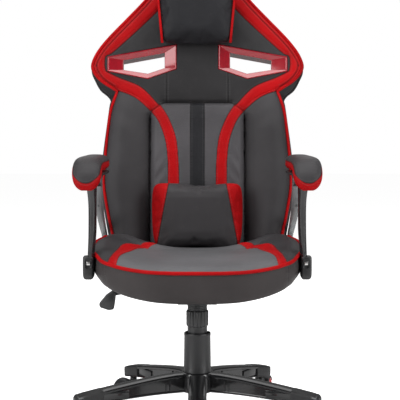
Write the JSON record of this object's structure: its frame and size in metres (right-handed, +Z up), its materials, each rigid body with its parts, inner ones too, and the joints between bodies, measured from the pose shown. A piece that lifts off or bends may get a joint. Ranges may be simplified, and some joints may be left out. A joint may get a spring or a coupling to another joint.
{
  "type": "gaming chair",
  "caption": "Five-star swivel gaming chair with winged bucket back, harness openings, fixed loop armrests, two pillows, gas lift, spring tilt and twin-wheel casters.",
  "frame": {"origin": "on the floor, on the axis of the gas column", "axes": "+Z up, the sitter faces -Y, +X is to the right as seen by someone facing the chair"},
  "size_m": [0.723, 0.7393, 1.2244],
  "materials": {
    "base_plastic": "satin",
    "caster_plastic": "gloss",
    "steel_pin": "satin",
    "wheel_red": "satin",
    "black_steel": "satin",
    "column_plastic": "satin",
    "bright_steel": "polished",
    "knob_plastic": "matte",
    "valve_plastic": "satin",
    "plywood": "matte",
    "dark_upholstery": "satin",
    "red_upholstery": "satin",
    "trim_red": "gloss",
    "arm_plastic": "satin",
    "arm_gloss": "gloss"
  },
  "bodies": {
    "base": {"star_base": "base_plastic", "column_tube": "black_steel", "column_cover_lower": "column_plastic", "thrust_bearing": "bright_steel", "retaining_clip": "black_steel"},
    "swivel": {"piston_rod": "bright_steel"},
    "cover_slide": {"column_cover_middle": "column_plastic"},
    "lift": {"gas_cylinder": "bright_steel", "mechanism_housing": "black_steel", "tilt_pivot_pin": "bright_steel", "column_cover_upper": "column_plastic", "spring_cup": "knob_plastic", "tension_spring": "black_steel"},
    "valve": {"valve_button": "valve_plastic"},
    "lever_pivot": {"lever_bush": "knob_plastic"},
    "lever": {"lever_rod": "black_steel", "lever_paddle": "knob_plastic"},
    "tension_screw": {"tension_bolt": "black_steel"},
    "knob": {"tension_knob": "knob_plastic"},
    "seat_unit": {"seat_plate": "black_steel", "seat_board": "plywood", "seat_cushion": "dark_upholstery", "back_bracket": "black_steel", "back_cushion": "dark_upholstery", "back_frame": "plywood", "back_rear_pad": "dark_upholstery", "harness_trim_left": "trim_red", "harness_trim_right": "trim_red", "head_pillow": "dark_upholstery", "lumbar_pillow": "dark_upholstery", "armrest_left_pad": "dark_upholstery", "armrest_left_plate": "arm_plastic", "armrest_left_front_leg": "arm_gloss", "armrest_left_rear_leg": "arm_gloss", "armrest_left_foot": "arm_plastic", "armrest_right_pad": "dark_upholstery", "armrest_right_plate": "arm_plastic", "armrest_right_front_leg": "arm_gloss", "armrest_right_rear_leg": "arm_gloss", "armrest_right_foot": "arm_plastic"},
    "caster_front": {"caster_front_housing": "caster_plastic", "caster_front_stem": "steel_pin"},
    "wheel_front_left": {"caster_front_wheel_left": "wheel_red"},
    "wheel_front_right": {"caster_front_wheel_right": "wheel_red"},
    "caster_right": {"caster_right_housing": "caster_plastic", "caster_right_stem": "steel_pin"},
    "wheel_right_left": {"caster_right_wheel_left": "wheel_red"},
    "wheel_right_right": {"caster_right_wheel_right": "wheel_red"},
    "caster_rear_right": {"caster_rear_right_housing": "caster_plastic", "caster_rear_right_stem": "steel_pin"},
    "wheel_rear_right_left": {"caster_rear_right_wheel_left": "wheel_red"},
    "wheel_rear_right_right": {"caster_rear_right_wheel_right": "wheel_red"},
    "caster_rear_left": {"caster_rear_left_housing": "caster_plastic", "caster_rear_left_stem": "steel_pin"},
    "wheel_rear_left_left": {"caster_rear_left_wheel_left": "wheel_red"},
    "wheel_rear_left_right": {"caster_rear_left_wheel_right": "wheel_red"},
    "caster_left": {"caster_left_housing": "caster_plastic", "caster_left_stem": "steel_pin"},
    "wheel_left_left": {"caster_left_wheel_left": "wheel_red"},
    "wheel_left_right": {"caster_left_wheel_right": "wheel_red"}
  },
  "joints": [
    {"name": "seat_swivel", "type": "hinge", "parent": "base", "child": "swivel", "pos_m": [0, 0, 0.07], "axis": [0, 0, 1], "continuous": true},
    {"name": "height_lift", "type": "slide", "parent": "swivel", "child": "lift", "axis": [0, 0, 1], "range_m": [0, 0.1]},
    {"name": "cover_extend", "type": "slide", "parent": "swivel", "child": "cover_slide", "axis": [0, 0, 1], "range_m": [0, 0.05]},
    {"name": "lever_lift", "type": "hinge", "parent": "lift", "child": "lever_pivot", "pos_m": [-0.0485, 0, 0.3505], "axis": [0, 1, 0], "range_deg": [0, 4.4], "stiffness_Nm_per_rad": 6, "springref_deg": -3.44},
    {"name": "lever_pull", "type": "slide", "parent": "lever_pivot", "child": "lever", "axis": [-1, 0, 0], "range_m": [0, 0.012]},
    {"name": "valve_press", "type": "slide", "parent": "lift", "child": "valve", "axis": [0, 0, -1], "range_m": [0, 0.0047]},
    {"name": "seat_tilt", "type": "hinge", "parent": "lift", "child": "seat_unit", "pos_m": [0, -0.038, 0.3545], "axis": [-1, 0, 0], "range_deg": [0, 10], "stiffness_Nm_per_rad": 120, "springref_deg": -17.19},
    {"name": "tension_travel", "type": "slide", "parent": "lift", "child": "tension_screw", "axis": [0, 0, 1], "range_m": [0, 0.0091], "deforming": ["tension_spring"]},
    {"name": "knob_turn", "type": "hinge", "parent": "tension_screw", "child": "knob", "pos_m": [0, -0.09, 0.29], "axis": [0, 0, 1], "range_deg": [-540, 540]},
    {"name": "caster_front_swivel", "type": "hinge", "parent": "base", "child": "caster_front", "pos_m": [0, -0.318, 0.06], "axis": [0, 0, 1], "continuous": true},
    {"name": "wheel_front_left_roll", "type": "hinge", "parent": "caster_front", "child": "wheel_front_left", "pos_m": [0, -0.346, 0.025], "axis": [1, 0, 0], "continuous": true},
    {"name": "wheel_front_right_roll", "type": "hinge", "parent": "caster_front", "child": "wheel_front_right", "pos_m": [0, -0.346, 0.025], "axis": [1, 0, 0], "continuous": true},
    {"name": "caster_right_swivel", "type": "hinge", "parent": "base", "child": "caster_right", "pos_m": [0.30244, -0.09827, 0.06], "axis": [0, 0, 1], "continuous": true},
    {"name": "wheel_right_left_roll", "type": "hinge", "parent": "caster_right", "child": "wheel_right_left", "pos_m": [0.32948, -0.09102, 0.025], "axis": [-0.2588, 0.9659, 0], "continuous": true},
    {"name": "wheel_right_right_roll", "type": "hinge", "parent": "caster_right", "child": "wheel_right_right", "pos_m": [0.32948, -0.09102, 0.025], "axis": [-0.2588, 0.9659, 0], "continuous": true},
    {"name": "caster_rear_right_swivel", "type": "hinge", "parent": "base", "child": "caster_rear_right", "pos_m": [0.18692, 0.25727, 0.06], "axis": [0, 0, 1], "continuous": true},
    {"name": "wheel_rear_right_left_roll", "type": "hinge", "parent": "caster_rear_right", "child": "wheel_rear_right_left", "pos_m": [0.19416, 0.28431, 0.025], "axis": [-0.9659, 0.2588, 0], "continuous": true},
    {"name": "wheel_rear_right_right_roll", "type": "hinge", "parent": "caster_rear_right", "child": "wheel_rear_right_right", "pos_m": [0.19416, 0.28431, 0.025], "axis": [-0.9659, 0.2588, 0], "continuous": true},
    {"name": "caster_rear_left_swivel", "type": "hinge", "parent": "base", "child": "caster_rear_left", "pos_m": [-0.18692, 0.25727, 0.06], "axis": [0, 0, 1], "continuous": true},
    {"name": "wheel_rear_left_left_roll", "type": "hinge", "parent": "caster_rear_left", "child": "wheel_rear_left_left", "pos_m": [-0.20985, 0.24121, 0.025], "axis": [0.5736, -0.8192, 0], "continuous": true},
    {"name": "wheel_rear_left_right_roll", "type": "hinge", "parent": "caster_rear_left", "child": "wheel_rear_left_right", "pos_m": [-0.20985, 0.24121, 0.025], "axis": [0.5736, -0.8192, 0], "continuous": true},
    {"name": "caster_left_swivel", "type": "hinge", "parent": "base", "child": "caster_left", "pos_m": [-0.30244, -0.09827, 0.06], "axis": [0, 0, 1], "continuous": true},
    {"name": "wheel_left_left_roll", "type": "hinge", "parent": "caster_left", "child": "wheel_left_left", "pos_m": [-0.32948, -0.09102, 0.025], "axis": [-0.2588, -0.9659, 0], "continuous": true},
    {"name": "wheel_left_right_roll", "type": "hinge", "parent": "caster_left", "child": "wheel_left_right", "pos_m": [-0.32948, -0.09102, 0.025], "axis": [-0.2588, -0.9659, 0], "continuous": true}
  ],
  "couplings": [
    {"joint": "cover_extend", "follows": "height_lift", "ratio": 0.5},
    {"joint": "valve_press", "follows": "lever_lift", "m_per_rad": 0.06},
    {"joint": "tension_travel", "follows": "seat_tilt", "m_per_rad": 0.052}
  ]
}
